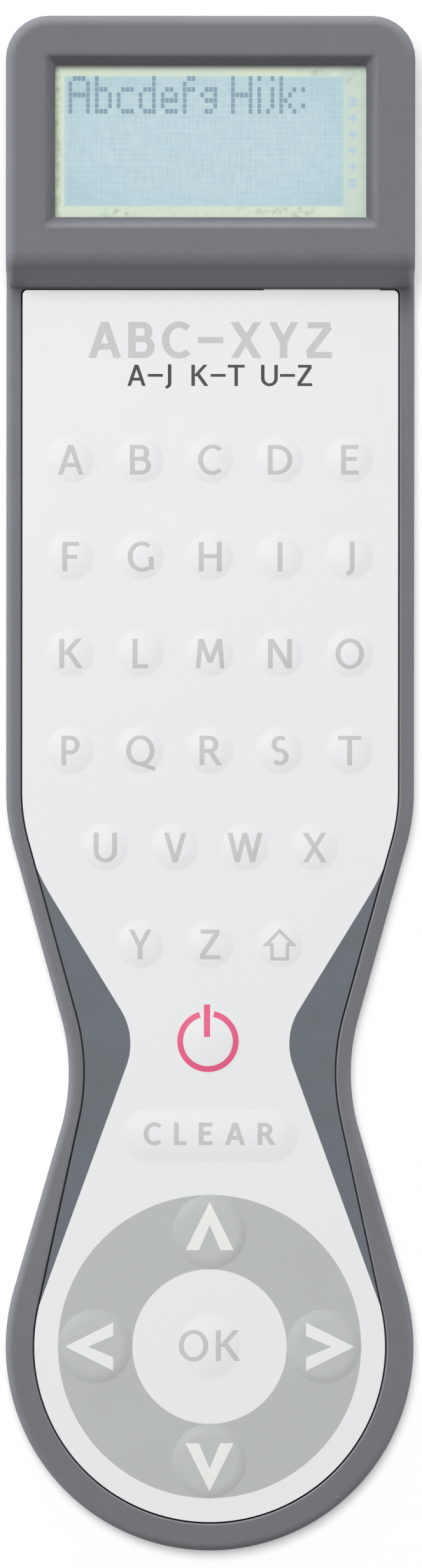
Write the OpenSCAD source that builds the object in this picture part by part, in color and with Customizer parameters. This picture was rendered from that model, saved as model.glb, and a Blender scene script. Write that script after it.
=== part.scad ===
// Electronic dictionary bookmark: a slim keypad tray with a thick display head, lying on its back.
// +Y points to the head, +Z out of the keypad; the origin is at the middle of the back.

/* [Overall] */
// Length from the top of the head to the end of the round foot
length = 160.6; // [154:0.2:176]
// Width of the straight part of the body
body_w = 42.8; // [42:0.2:48]

/* [Outline] */
// Radius of the head's two upper corners
head_corner_r = 4.5; // [3.5:0.1:7]
// Diameter of the round foot
foot_d = 42.8; // [40:0.2:48]
// Width at the narrowest place of the waist
waist_w = 29.6; // [27:0.2:34]
// Radius of the hollow of the waist
waist_bend_r = 21.4; // [18:0.2:26]
// Distance from the centre of the foot up to the waist
waist_above_foot = 28.7; // [28:0.1:32]
// Distance from the waist up to the start of the shoulders
shoulder_above_waist = 29.55; // [28:0.05:33]

/* [Housing] */
// Width of the rim along the sides
side_rim_w = 1.52; // [1.2:0.02:2.2]
// Width of the rim round the foot
foot_rim_w = 2.83; // [2:0.01:3.4]
// Rise of the rim above the top film
rim_rise = 0.3; // [0.1:0.05:0.8]
// Thickness of the tray floor, the rear cover and the battery door
floor_t = 1; // [0.9:0.05:1.4]
// Rounding of the upper edge
edge_r = 0.8; // [0.4:0.05:1.1]
// Break of the back edge
back_break = 0.4; // [0.2:0.05:0.6]
// Run of the slope between head and keypad
slope_run = 3; // [2.6:0.1:4]
// Rounding of the slope's crest
crest_r = 1.35; // [0.8:0.05:1.8]
// Rounding of the slope's foot
slope_foot_r = 0.3; // [0.2:0.05:0.6]
// Thickness of the head's front wall
front_t = 1.1; // [0.9:0.05:1.5]
// Thickness of the head's side walls
shell_t = 2.2; // [1.8:0.05:2.6]
// Width of the step that the rear cover rests on
cover_seat_w = 1; // [0.7:0.05:1.2]
// Wall left between the slope and the display space
slope_wall_t = 1.9; // [1.2:0.1:2.8]

/* [Display] */
// Width of the visible display
display_w = 32.7; // [28:0.1:34]
// Height of the visible display
display_h = 16; // [15:0.1:20]
// Distance from the top of the head to the visible display
display_below_top = 5.1; // [4.8:0.1:7]
// Distance from the crest of the slope to the visible display
display_above_crest = 4.2; // [3.8:0.1:6]
// Width of the bevel round the display
bevel_w = 0.95; // [0.5:0.05:1.2]
// Height of the straight lip under the bevel
bevel_lip = 0.2; // [0.1:0.05:0.4]
// Thickness of the clear window
window_t = 0.7; // [0.5:0.05:0.9]
// Cover of the window and glass behind the front wall, each side
glass_lap = 1.65; // [1:0.05:1.7]
// Thickness of each of the two display glasses
glass_t = 0.6; // [0.4:0.05:0.7]
// Width of the contact ledge of the front glass
ledge_w = 1.4; // [1.2:0.1:1.6]

/* [Electronics] */
// Thickness of the circuit board
board_t = 0.8; // [0.6:0.1:1]
// Room between display glass and board
board_gap = 0.55; // [0.3:0.05:1]
// Diameter of the button cell
cell_d = 20; // [16:0.1:21]
// Height of the button cell
cell_h = 3.2; // [2:0.1:4]
// Room for the bowed spring between cell and board
spring_room = 0.39; // [0.3:0.01:0.8]
// Thickness of the battery springs
spring_t = 0.15; // [0.1:0.01:0.2]
// Radius of the chip's resin drop
blob_r = 4.2; // [3:0.1:4.6]
// Height of the chip's resin drop
blob_h = 1.2; // [0.8:0.1:1.6]

/* [Rear cover] */
// Clearance round the cover and the door
cover_gap = 0.1; // [0.05:0.01:0.2]
// Wall of the cell's well
well_t = 1; // [0.8:0.05:1.2]
// Diameter of the screw shanks
screw_d = 1.5; // [1.3:0.05:1.8]
// Diameter of the screw heads
screw_head_d = 2.9; // [2.5:0.05:3.1]
// Overlap of the door's and the cover's hooks
hook_lap = 0.6; // [0.4:0.05:0.8]

/* [Keypad films] */
// Thickness of the contact film
circuit_t = 0.3; // [0.2:0.02:0.4]
// Thickness of the spacer film
spacer_t = 0.7; // [0.6:0.02:0.9]
// Thickness of the printed top film
overlay_t = 0.4; // [0.2:0.02:0.5]
// Gap between the top film and the rim
film_gap = 0.23; // [0.1:0.01:0.4]
// Width of the tab that holds the top film under the head
tab_w = 12.2; // [10:0.1:13]
// Distance of the middle of the tab from the centre line
tab_offset = 11.7; // [11:0.1:12]
// Width of the contact film's tail
tail_w = 7.4; // [5:0.1:7.6]

/* [Keys] */
// Sideways distance between letter keys
pitch_x = 7.32; // [6.9:0.02:7.8]
// Distance between rows of letter keys
pitch_y = 10.16; // [8:0.02:11]
// Diameter of the letter keys
letter_d = 5.8; // [4:0.1:6]
// Height of the last letter row above the waist
letters_above_waist = 13.45; // [13:0.05:16]
// Diameter of the power key
power_d = 7.6; // [5:0.1:8]
// Height of the power key above the waist
power_above_waist = 3.3; // [2:0.1:4]
// Length of the clear key
clear_l = 18.8; // [14:0.1:20]
// Width of the clear key
clear_w = 5.8; // [4:0.1:6]
// Distance of the clear key below the waist
clear_below_waist = 6.6; // [6.2:0.1:7]
// Diameter of the arrow keys
arrow_d = 7.7; // [5:0.1:8.4]
// Distance of the arrow keys from the centre of the foot
arrow_ring_r = 12; // [10:0.1:12.6]
// Diameter of the key in the middle of the arrows
ok_d = 7.7; // [5:0.1:8]
// Travel of every key
key_travel = 0.2; // [0.1:0.02:0.4]
// Rise of a key's crown above the top film
crown_h = 0.25; // [0.2:0.01:0.4]
// Width of a key's domed shoulder
crown_w = 1.4; // [0.8:0.05:1.8]
// Clearance between a key and the hole in the top film
key_gap = 0.08; // [0.05:0.01:0.12]
// Width of the flange that keeps a key under the top film
flange_w = 0.35; // [0.2:0.01:0.4]

/* [Hidden] */
$fn = 64;
// Added where a cut has to pass a face
over = 0.2;
// Least free room between pieces that must not touch
free = 0.06;
// Free room round the board and the cell
part_room = 0.3;
// Degrees of arc between points of the outline
arc_step = 4;

top_y = length / 2;
foot_c = [0, foot_d / 2 - length / 2];
waist_c = [waist_w / 2 + waist_bend_r, foot_c.y + waist_above_foot];
shoulder_c = [0, waist_c.y + shoulder_above_waist];

// Heights of the keypad films, from the tray floor up
spacer_z = floor_t + circuit_t;
overlay_z = spacer_z + spacer_t;
face_z = overlay_z + overlay_t;
rim_h = face_z + rim_rise;

// Heights in the head: it is as thick as what it holds, from the door up
cell_z = floor_t + free;
cell_top_z = cell_z + cell_h;
board_z = cell_top_z + spring_room;
board_top_z = board_z + board_t;
rear_glass_z = board_top_z + board_gap;
front_glass_z = rear_glass_z + glass_t;
window_z = front_glass_z + glass_t;
front_in_z = window_z + window_t;
head_h = front_in_z + front_t;

// Plan of the head
display_y1 = top_y - display_below_top;
display_y0 = display_y1 - display_h;
crest_y = display_y0 - display_above_crest;
slope_y = crest_y - slope_run;
pocket_top = slope_y - free;
tab_lap = 1.4;
film_corner_r = 0.5;
cavity_hw = body_w / 2 - shell_t;
// The glass reaches behind the front wall by its lap, or as far as the side walls let it
glass_hw = min(display_w / 2 + glass_lap, cavity_hw - free);
glass_y1 = display_y1 + glass_lap;
cavity_r = head_corner_r - shell_t;
cavity_y1 = top_y - shell_t;
lower_cavity_y0 = slope_y + shell_t;
upper_cavity_y0 = crest_y + slope_wall_t;
lower_cavity_z1 = board_z + free;
seat_wall = shell_t - cover_seat_w;
seat_r = head_corner_r - seat_wall;
glass_below = 0.9;
board_y0 = display_y0 - glass_below;
board_y1 = cavity_y1 - part_room;

// Cell, its well and door, at the left of the head; screws and hooks of the back
well_r = cell_d / 2 + part_room;
door_lap = 0.6;
door_r = well_r + door_lap;
cell_c = [door_r + hook_lap + part_room - cavity_hw, (lower_cavity_y0 + cavity_y1) / 2];
boss_room = 0.8;
boss_wall = 0.8;
boss_end_z = board_z - boss_room;
screw_head_h = 0.6;
screw_end_z = boss_end_z - boss_wall / 2;
pilot_r = screw_d / 2 + 0.05;
boss_r = pilot_r + boss_wall;
ear_wall = 0.7;
ear_r = screw_head_d / 2 + ear_wall;
ear_lap = 0.5;
door_screw_c = cell_c + [door_r + ear_r - ear_lap, 0];
case_screws_c = [for (s = [-1, 1])
  [s * (body_w / 2 - seat_wall - seat_r), slope_y + seat_wall + seat_r]];
hook_x = 10;
hook_w = 4;
hook_t = 0.6;

key_bottom_z = spacer_z + key_travel + free;
flange_top_z = overlay_z - free;
crown_edge_h = 0.05;
crown_edge_z = face_z + crown_edge_h;
crown_top_z = face_z + crown_h;

letter_rows = [
  ["a", "b", "c", "d", "e"],
  ["f", "g", "h", "i", "j"],
  ["k", "l", "m", "n", "o"],
  ["p", "q", "r", "s", "t"],
  ["u", "v", "w", "x"],
  ["y", "z", "shift"]
];
letter_rows_n = len(letter_rows);
// Rows stand a pitch apart, or closer where a short body leaves less room under the slope
last_row_y = waist_c.y + letters_above_waist;
letter_reach = letter_d / 2 + flange_w + key_gap + free;
row_room = pocket_top - film_gap - letter_reach - last_row_y;
row_step = min(pitch_y, row_room / (letter_rows_n - 1));
arrow_names = ["right", "up", "left", "down"];
film_white = "#ebecee";
ring_grey = "#b7bbba";
housing_grey = "#7b7c80";

// Every round key: node name, centre, radius and colour
round_keys = concat(
  [for (j = [0:letter_rows_n - 1]) for (i = [0:len(letter_rows[j]) - 1])
    [str("key_", letter_rows[j][i]), letter_c(j, i), letter_d / 2, film_white]],
  [["key_power", [0, waist_c.y + power_above_waist], power_d / 2, film_white]],
  [["key_ok", foot_c, ok_d / 2, film_white]],
  [for (i = [0:3])
    let (way = [cos(90 * i), sin(90 * i)])
    [str("key_", arrow_names[i]), foot_c + arrow_ring_r * way, arrow_d / 2, ring_grey]]
);
clear_c = [0, waist_c.y - clear_below_waist];

// Centre of letter key i of row j: rows are centred, and stand above the waist
function letter_c(j, i) = [
  (i - (len(letter_rows[j]) - 1) / 2) * pitch_x,
  last_row_y + (letter_rows_n - 1 - j) * row_step
];

// Points of an arc about c, from angle a0 to a1
function arc(c, r, a0, a1, n) = [
  for (i = [0:n]) let (a = a0 + (a1 - a0) * i / n) c + r * [cos(a), sin(a)]
];

// A closed outline from its right half, listed from top to bottom
function mirrored(half) = concat(half, [for (i = [len(half) - 1:-1:0]) [-half[i].x, half[i].y]]);

// Angle at which a line leaves a circle at p to run on into the hollow of the waist
function tangent_angle(p, r, hollow_r) =
  let (d = waist_c - p) sign(d.y) * (abs(atan2(d.y, d.x)) - acos((r + hollow_r) / norm(d)));

function steps(a0, a1) = ceil(abs(a1 - a0) / arc_step);

// Outline of the bookmark: corners, straight sides, shoulders, hollow waist and round foot.
// The sides and waist come in by inset, the foot by foot_inset.
function bookmark_outline(inset, foot_inset, top, corner_r, stations = []) =
  let (
    w = body_w / 2 - inset,
    hollow_r = waist_bend_r + inset,
    r = foot_d / 2 - foot_inset,
    a = tangent_angle(shoulder_c, w, hollow_r),
    b = tangent_angle(foot_c, r, hollow_r),
    last = arc_step / 2 - 90
  )
  mirrored(concat(
    arc([w - corner_r, top - corner_r], corner_r, 90, 0, 8),
    [for (y = stations) [w, y]],
    arc(shoulder_c, w, 0, a, steps(0, a)),
    arc(waist_c, hollow_r, 180 + a, 180 + b, steps(a, b)),
    arc(foot_c, r, b, last, steps(b, last))
  ));

// Rectangle of half width w between y0 and y1, with round corners
function rounded_rect(w, y0, y1, r) = mirrored(concat(
  arc([w - r, y1 - r], r, 90, 0, 6),
  arc([w - r, y0 + r], r, 0, -90, 6)
));

// Long hole of half length l and half width r
function pill(l, r) = mirrored(arc([l - r, 0], r, 90, -90, 16));

// Outline of a keypad film, held off the rim by gap
function film_outline(gap) =
  bookmark_outline(side_rim_w + gap, foot_rim_w + gap, pocket_top - gap, film_corner_r);

// Section of the slope as points [y, z]: rounded crest, straight flank, rounded foot
slope_section =
  let (
    rounds = crest_r + slope_foot_r,
    rest = head_h - rim_h - rounds,
    tilt = acos(-rounds / norm([rest, slope_run])) - atan2(slope_run, rest)
  )
  concat(
    arc([crest_y, head_h - crest_r], crest_r, 90, 90 + tilt, 6),
    arc([slope_y, rim_h + slope_foot_r], slope_foot_r, tilt - 90, -90, 3)
  );

// Height of the front at y: rim, slope, head
function front_z(y) = lookup(y, slope_section);

// Solid through a stack of mirrored rings with equal numbers of points
module loft(rings) {
  n = len(rings[0]);
  h = n / 2;
  last = (len(rings) - 1) * n;
  sides = [for (k = [0:len(rings) - 2]) for (j = [0:n - 1])
    let (a = k * n + j, b = k * n + (j + 1) % n) each [[a, b, b + n], [a, b + n, a + n]]];
  below = [for (i = [0:h - 2]) each [[n - 1 - i, n - 2 - i, i + 1], [n - 1 - i, i + 1, i]]];
  above = [for (i = [0:h - 2]) each [
    [last + i, last + i + 1, last + n - 2 - i], [last + i, last + n - 2 - i, last + n - 1 - i]]];
  polyhedron([for (r = rings) each r], concat(sides, below, above), convexity = 8);
}

function lift(points, z) = [for (p = points) [p.x, p.y, z]];

// Plate of the given outline from z0 to z1
module plate(points, z0, z1) {
  translate([0, 0, z0])
    linear_extrude(z1 - z0)
      polygon(points);
}

module block(low, high) {
  translate(low)
    cube(high - low);
}

module post(c, r, z0, z1) {
  translate([c.x, c.y, z0])
    cylinder(r = r, h = z1 - z0);
}

// Outer form of the housing: broken back edge, straight wall, rounded front edge that follows the slope
module housing_form() {
  slope_stations = [for (p = slope_section) p.x];
  function ring(inset) =
    bookmark_outline(inset, inset, top_y - inset, head_corner_r - inset, slope_stations);
  function front_ring(inset, drop) = [for (p = ring(inset)) [p.x, p.y, front_z(p.y) - drop]];
  loft(concat(
    [lift(ring(back_break), 0), lift(ring(0), back_break)],
    [for (a = [0:22.5:90]) front_ring(edge_r * (1 - cos(a)), edge_r * (1 - sin(a)))]
  ));
}

// Grey moulding: keypad tray and display head in one piece
module front_housing() {
  rib_end = 2;
  seat_hw = body_w / 2 - seat_wall;
  color(housing_grey)
    difference() {
      union() {
        difference() {
          housing_form();
          plate(film_outline(0), floor_t, rim_h + over);
          plate(rounded_rect(cavity_hw, lower_cavity_y0, cavity_y1, cavity_r), 0, lower_cavity_z1);
          plate(rounded_rect(cavity_hw, upper_cavity_y0, cavity_y1, cavity_r), floor_t, front_in_z);
          plate(rounded_rect(seat_hw, slope_y + seat_wall, top_y - seat_wall, seat_r), -over, floor_t);
          display_opening();
        }
        for (s = [0, 1])
          mirror([s, 0, 0])
            block([glass_hw + free, display_y0 + rib_end, board_top_z],
                  [cavity_hw + over, display_y1 - rib_end, front_in_z + over]);
        for (c = case_screws_c)
          post(c, boss_r, floor_t, lower_cavity_z1 + over);
      }
      film_slot();
      for (c = case_screws_c)
        post(c, pilot_r, floor_t - over, screw_end_z + over);
      for (s = [-1, 1])
        translate([s * hook_x, 0, 0])
          block([-hook_w / 2 - cover_gap, cavity_y1 - over, floor_t - over],
                [hook_w / 2 + cover_gap, cavity_y1 + hook_lap + free, floor_t + hook_t + free]);
    }
}

// Bevelled opening over the display
module display_opening() {
  corner_r = 0.2;
  function ring(d) = rounded_rect(display_w / 2 + d, display_y0 - d, display_y1 + d, corner_r + d / 4);
  lip_z = front_in_z + bevel_lip;
  slant = bevel_w / (head_h - lip_z);
  loft([
    lift(ring(0), front_in_z - over),
    lift(ring(0), lip_z),
    lift(ring(bevel_w + slant * over), head_h + over)
  ]);
}

// Slot under the slope for the tab of the top film and the tail of the contact film
module film_slot() {
  block([tab_offset - tab_w / 2 - film_gap, pocket_top - over, floor_t],
        [tab_offset + tab_w / 2 + film_gap, lower_cavity_y0 + over, face_z + free]);
}

// Plan of the battery door: a disc with an ear for its screw
module door_plan(gap) {
  translate(cell_c)
    circle(r = door_r + gap);
  translate(door_screw_c)
    circle(r = ear_r + gap);
  neck = 0.8 * ear_r + gap;
  translate([cell_c.x, cell_c.y - neck])
    square([door_screw_c.x - cell_c.x, 2 * neck]);
}

// Plate that closes the head, with the cell's well, two board posts, a screw boss and two hooks
module rear_cover() {
  inset = seat_wall + cover_gap;
  cover_hw = body_w / 2 - inset;
  well_reach = 0.31 * cell_d;
  well_end = boss_end_z;
  post_r = 1;
  post_x = cavity_hw - 2.6 * post_r;
  post_in = 2;
  hook_root = 0.8;
  color(housing_grey)
    difference() {
      union() {
        difference() {
          union() {
            plate(rounded_rect(cover_hw, slope_y + inset, top_y - inset, seat_r - cover_gap), 0, floor_t);
            for (s = [-1, 1])
              translate([s * hook_x, 0, 0])
                block([-hook_w / 2, cavity_y1 - hook_root, floor_t - over],
                      [hook_w / 2, cavity_y1 + hook_lap, floor_t + hook_t]);
          }
          translate([0, 0, -over])
            linear_extrude(floor_t + 2 * over)
              door_plan(cover_gap);
        }
        difference() {
          intersection() {
            post(cell_c, door_r + well_t, floor_t, well_end);
            block([-cavity_hw + free, cell_c.y - well_reach, 0],
                  [cavity_hw - free, cell_c.y + well_reach, head_h]);
          }
          post(cell_c, well_r, 0, head_h);
          block([cell_c.x - door_r - 2 * well_t, cell_c.y - hook_w, 0],
                [cell_c.x, cell_c.y + hook_w, head_h]);
        }
        post(door_screw_c, boss_r, floor_t, boss_end_z);
        for (y = [board_y0 + post_in, board_y1 - post_in])
          post([post_x, y], post_r, floor_t - over, board_z);
      }
      post(door_screw_c, pilot_r, floor_t - over, screw_end_z + over);
      for (c = case_screws_c)
        screw_seat(c);
    }
}

// Hole with a round seat for a screw head
module screw_seat(c) {
  post(c, pilot_r, -over, floor_t + over);
  post(c, screw_head_d / 2 + cover_gap, -over, screw_head_h);
}

// Cap-head screw, its head flush with the back
module screw(c) {
  post(c, screw_head_d / 2, 0, screw_head_h);
  post(c, screw_d / 2, screw_head_h - free, screw_end_z);
}

module door_screw() {
  color("silver")
    screw(door_screw_c);
}

module case_screws() {
  color("silver")
    for (c = case_screws_c)
      screw(c);
}

// Door over the cell: disc, screw ear and the tab that hooks behind the cover
module battery_door() {
  color(housing_grey)
    difference() {
      union() {
        linear_extrude(floor_t)
          door_plan(0);
        translate(cell_c)
          block([-door_r - hook_lap, -hook_w / 2, floor_t], [-well_r, hook_w / 2, floor_t + hook_t]);
      }
      screw_seat(door_screw_c);
    }
}

// Clear pane behind the front wall
module display_window() {
  corner_r = 0.6;
  color("aliceblue", 0.4)
    plate(rounded_rect(glass_hw, board_y0, glass_y1, corner_r), window_z, front_in_z);
}

// Display glass: the front sheet overhangs the rear one and carries the contacts
module lcd_panel() {
  corner_r = 0.3;
  color("#c4d8dc") {
    plate(rounded_rect(glass_hw, board_y0, glass_y1, corner_r), front_glass_z, window_z);
    plate(rounded_rect(glass_hw, board_y0 + ledge_w, glass_y1, corner_r), rear_glass_z, front_glass_z);
  }
}

// Rubber connector between the board and the ledge of the glass
module zebra_strip() {
  color("dimgray")
    block([-display_w / 2, board_y0 + free, board_top_z],
          [display_w / 2, board_y0 + ledge_w - free, front_glass_z]);
}

// Circuit board, held between the ribs of the housing and the posts of the cover
module main_board() {
  outline = rounded_rect(cavity_hw - part_room, board_y0, board_y1, cavity_r - part_room);
  color("seagreen")
    plate(outline, board_z, board_top_z);
}

// Resin drop over the chip, on the back of the board beside the cell
module processor_blob() {
  above_screw = 3;
  rise = (blob_r * blob_r - blob_h * blob_h) / (2 * blob_h);
  span = atan(blob_r / rise);
  color("#202022")
    translate([cavity_hw - part_room - blob_r, door_screw_c.y + above_screw, board_z])
      mirror([0, 0, 1])
        rotate_extrude()
          polygon(concat([[0, 0]], arc([0, -rise], rise + blob_h, 90 - span, 90, 8)));
}

// Flat metal can of the clock's crystal, on the back of the board
module crystal() {
  can_l = 5.2;
  can_w = 2;
  can_h = 1.3;
  below_edge = 3;
  color("lightsteelblue")
    translate([door_screw_c.x, board_y1 - below_edge, 0])
      plate(pill(can_l / 2, can_w / 2), board_z - can_h, board_z);
}

// Button cell: can, and the lid that stands out of it
module coin_cell() {
  lid_h = 0.3;
  lid_inset = 1.1;
  color("gainsboro") {
    post(cell_c, cell_d / 2, cell_z, cell_top_z - lid_h);
    post(cell_c, cell_d / 2 - lid_inset, cell_top_z - lid_h - free, cell_top_z);
  }
}

// Angle spring that bears on the side of the cell and is soldered to the board
module contact_positive() {
  width = 6;
  low_z = cell_z + 0.4;
  y = cell_c.y + cell_d / 2 + free;
  foot_y = board_y1 - part_room;
  color("goldenrod")
    translate([cell_c.x - width / 2, 0, 0])
      rotate([90, 0, 90])
        linear_extrude(width)
          polygon([[y, low_z], [y + spring_t, low_z], [y + spring_t, board_z - spring_t],
                   [foot_y, board_z - spring_t], [foot_y, board_z], [y, board_z]]);
}

// Bowed leaf under the board that presses on the cell
module contact_negative() {
  width = 4;
  reach = 6;
  foot = 2;
  touch = 1.6;
  low = spring_t - spring_room;
  half = [[touch, low], [reach - foot, 0], [reach, 0]];
  bow = concat([for (i = [2:-1:0]) [-half[i].x, half[i].y]], half);
  under = [for (i = [len(bow) - 1:-1:0]) bow[i] - [0, spring_t]];
  color("goldenrod")
    translate([cell_c.x, cell_c.y + width / 2, board_z])
      rotate([90, 0, 0])
        linear_extrude(width)
          polygon(concat(bow, under));
}

// Contact film on the tray floor; its tail climbs to the back of the board
module keypad_circuit() {
  root = 2;
  joint_l = 2.4;
  tail_x = tab_offset - tab_w / 2 + 1;
  y0 = pocket_top - root;
  climb_y = lower_cavity_y0 + seat_wall;
  end_y = door_screw_c.y - ear_r - part_room;
  run = end_y - joint_l - climb_y;
  rise = board_z - circuit_t - floor_t;
  climb = [for (i = [0:8]) let (t = i / 8) [climb_y + run * t, floor_t + rise * t * t * (3 - 2 * t)]];
  path = concat([[y0, floor_t]], climb, [[end_y, floor_t + rise]]);
  over_path = [for (i = [len(path) - 1:-1:0]) path[i] + [0, circuit_t]];
  color("peru") {
    plate(film_outline(film_gap), floor_t, spacer_z);
    translate([tail_x, 0, 0])
      rotate([90, 0, 90])
        linear_extrude(tail_w)
          polygon(concat(path, over_path));
  }
}

// Openings of a film under the keys, wider than each key by gap
module key_openings(gap, z0, z1) {
  for (k = round_keys)
    post(k[1], k[2] + gap, z0, z1);
  translate([clear_c.x, clear_c.y, 0])
    plate(pill(clear_l / 2 + gap, clear_w / 2 + gap), z0, z1);
}

module keypad_spacer() {
  color("whitesmoke")
    difference() {
      plate(film_outline(film_gap), spacer_z, overlay_z);
      key_openings(flange_w + key_gap, spacer_z - over, overlay_z + over);
    }
}

// Printed top film with its tab under the head
module keypad_overlay() {
  root = 2;
  color(film_white)
    difference() {
      union() {
        plate(film_outline(film_gap), overlay_z, face_z);
        block([tab_offset - tab_w / 2, pocket_top - root, overlay_z],
              [tab_offset + tab_w / 2, slope_y + tab_lap, face_z]);
      }
      key_openings(key_gap, overlay_z - over, face_z + over);
    }
}

// Section of a key from its edge inwards: flange under the film, neck in the film, shallow domed crown
key_section = concat(
  [[-flange_w, key_bottom_z], [-flange_w, flange_top_z], [0, flange_top_z]],
  [for (t = [0:0.2:1])
    [crown_w * t, crown_edge_z + (crown_top_z - crown_edge_z) * t * (2 - t)]]
);

// One round key from its entry in the list of keys
module round_key(k) {
  edge = [for (p = key_section) [k[2] - p.x, p.y]];
  color(k[3])
    translate(k[1])
      rotate_extrude()
        polygon(concat([[0, key_bottom_z]], edge, [[0, crown_top_z]]));
}

// The long clear key, of the same section
module key_clear() {
  color(film_white)
    translate(clear_c)
      loft([for (p = key_section) lift(pill(clear_l / 2 - p.x, clear_w / 2 - p.x), p.y)]);
}

front_housing();
rear_cover();
battery_door();
door_screw();
case_screws();
display_window();
lcd_panel();
zebra_strip();
main_board();
processor_blob();
crystal();
coin_cell();
contact_positive();
contact_negative();
keypad_circuit();
keypad_spacer();
keypad_overlay();
key_clear();
for (k = round_keys)
  round_key(k);
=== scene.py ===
"""An electronic dictionary bookmark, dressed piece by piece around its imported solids."""
import math

import bmesh
import bpy
from mathutils import Matrix, Vector
from mathutils.geometry import delaunay_2d_cdt


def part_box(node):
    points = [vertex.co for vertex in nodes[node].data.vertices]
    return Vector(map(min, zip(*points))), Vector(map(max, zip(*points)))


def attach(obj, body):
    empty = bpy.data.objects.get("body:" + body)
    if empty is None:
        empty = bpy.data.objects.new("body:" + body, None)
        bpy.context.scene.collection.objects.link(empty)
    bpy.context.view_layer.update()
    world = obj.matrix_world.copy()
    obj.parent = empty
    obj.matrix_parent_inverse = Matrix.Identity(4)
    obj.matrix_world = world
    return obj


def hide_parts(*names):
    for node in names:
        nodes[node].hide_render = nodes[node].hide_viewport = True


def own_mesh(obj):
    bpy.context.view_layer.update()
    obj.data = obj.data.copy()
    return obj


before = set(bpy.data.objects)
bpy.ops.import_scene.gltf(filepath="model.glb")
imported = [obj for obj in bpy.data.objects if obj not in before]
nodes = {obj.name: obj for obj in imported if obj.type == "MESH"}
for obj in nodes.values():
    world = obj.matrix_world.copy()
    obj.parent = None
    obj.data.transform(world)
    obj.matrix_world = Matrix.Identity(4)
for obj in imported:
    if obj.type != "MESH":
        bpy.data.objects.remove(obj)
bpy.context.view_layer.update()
scene = bpy.context.scene

# Studio: a white table under an even sky, and a camera far above with a long lens, which looks straight down
# with the head at the top of its tall frame.
frame_tall_px = 2461
px_per_m = 15000
camera_rise = 1.5
true_level = 0.005
frame_middle = (0.0001, 0.00007)
frame_turn = 0.0008
sky_light = 0.2
table_shade = 0.8
table_glow = 0.37
table_reach = 3.0
table_drop = 0.00002


def node(tree, kind, sockets, output=0, **options):
    """Adds a shader node; each socket takes a plain value or the output of another node."""
    made = tree.nodes.new("ShaderNode" + kind)
    for option, value in options.items():
        setattr(made, option, value)
    for socket, value in sockets.items():
        if isinstance(value, bpy.types.NodeSocket):
            tree.links.new(value, made.inputs[socket])
        else:
            made.inputs[socket].default_value = value
    return made.outputs[output]


def reckon(tree, operation, first, second):
    """One number from two others, either of which may be a socket."""
    return node(tree, "Math", {0: first, 1: second}, operation=operation)


def ramp(tree, value, start, stop, low=0.0, high=1.0):
    """A number that goes from low to high while the value goes from start to stop."""
    ends = {"From Min": start, "From Max": stop, "To Min": low, "To Max": high}
    return node(tree, "MapRange", {"Value": value, **ends})


def looked_at(tree):
    """1 on what the camera, a reflection or a clear pane shows, 0 on what only lights the scene."""
    path = tree.nodes.new("ShaderNodeLightPath").outputs
    shown = reckon(tree, "MAXIMUM", path["Is Camera Ray"], path["Is Glossy Ray"])
    shown = reckon(tree, "MAXIMUM", shown, path["Is Transmission Ray"])
    direct = reckon(tree, "LESS_THAN", path["Diffuse Depth"], 0.5)
    return reckon(tree, "MULTIPLY", shown, direct)


scene.view_settings.view_transform = "Standard"
camera = bpy.data.objects.new("camera", bpy.data.cameras.new("camera"))
camera.data.lens = camera.data.sensor_width * camera_rise * px_per_m / frame_tall_px
camera.location = (*frame_middle, true_level + camera_rise)
camera.rotation_euler.z = frame_turn
scene.collection.objects.link(camera)
scene.camera = camera

scene.world = bpy.data.worlds.new("sky")
scene.world.use_nodes = True
sky = scene.world.node_tree
sky_level = ramp(sky, looked_at(sky), 0.0, 1.0, low=sky_light)
sky.links.new(sky_level, sky.nodes["Background"].inputs["Strength"])
sky.nodes["Background"].inputs["Color"].default_value = (1, 1, 1, 1)

table_paint = bpy.data.materials.new("table_white")
table_paint.use_nodes = True
table_tree = table_paint.node_tree
table_shader = table_tree.nodes["Principled BSDF"].inputs
table_shader["Base Color"].default_value = (table_shade, table_shade, table_shade, 1)
table_shader["Roughness"].default_value = 0.9
table_shader["Specular IOR Level"].default_value = 0
table_shader["Emission Color"].default_value = (1, 1, 1, 1)
table_light = reckon(table_tree, "MULTIPLY", looked_at(table_tree), table_glow)
table_tree.links.new(table_light, table_shader["Emission Strength"])
table_mesh = bpy.data.meshes.new("table")
table_ways = ((-1, -1), (1, -1), (1, 1), (-1, 1))
table_corners = [(x * table_reach, y * table_reach, -table_drop) for x, y in table_ways]
table_mesh.from_pydata(table_corners, [], [(0, 1, 2, 3)])
table_mesh.materials.append(table_paint)
table = bpy.data.objects.new("table", table_mesh)
scene.collection.objects.link(table)

# Housing: one grey moulding in matt, softly grained plastic. Its shallow tray narrows at a waist and ends in
# a round foot; at the top it steps up over a steep slope into the hollow head, whose face has the bevelled
# opening for the display. The edges are rounded, and the back is open where the cover closes it.
mm = 0.001
body_half = 21.4
head_top = 80.3
head_corner = 4.5
shoulder_c = (0, -0.65)
waist_c = (36.2, -30.2)
waist_r = 21.4
foot_c = (0, -58.9)
head_level = 9.0
rim_level = 2.7
crest_c = (55.6, 7.0)
crest_r = 2.0
slope_foot_c = (52.0, 2.8)
slope_foot_r = 0.1
crest_steps = 20
slope_steps = 6
toe_steps = 4
edge_r = 0.8
head_edge_r = 1.1
rim_lean = 0.06
back_break = 0.4
tray_side = 1.52
tray_foot = 2.83
tray_top = 51.94
tray_corner = 0.5
tray_edge_r = 0.2
tray_floor = 1.0
screen_half = 16.35
screen_low = 59.2
screen_high = 75.2
screen_corner = 0.2
bevel_w = 0.95
bevel_edge_r = 0.6
lip_level = 7.95
pane_level = 7.9
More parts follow.
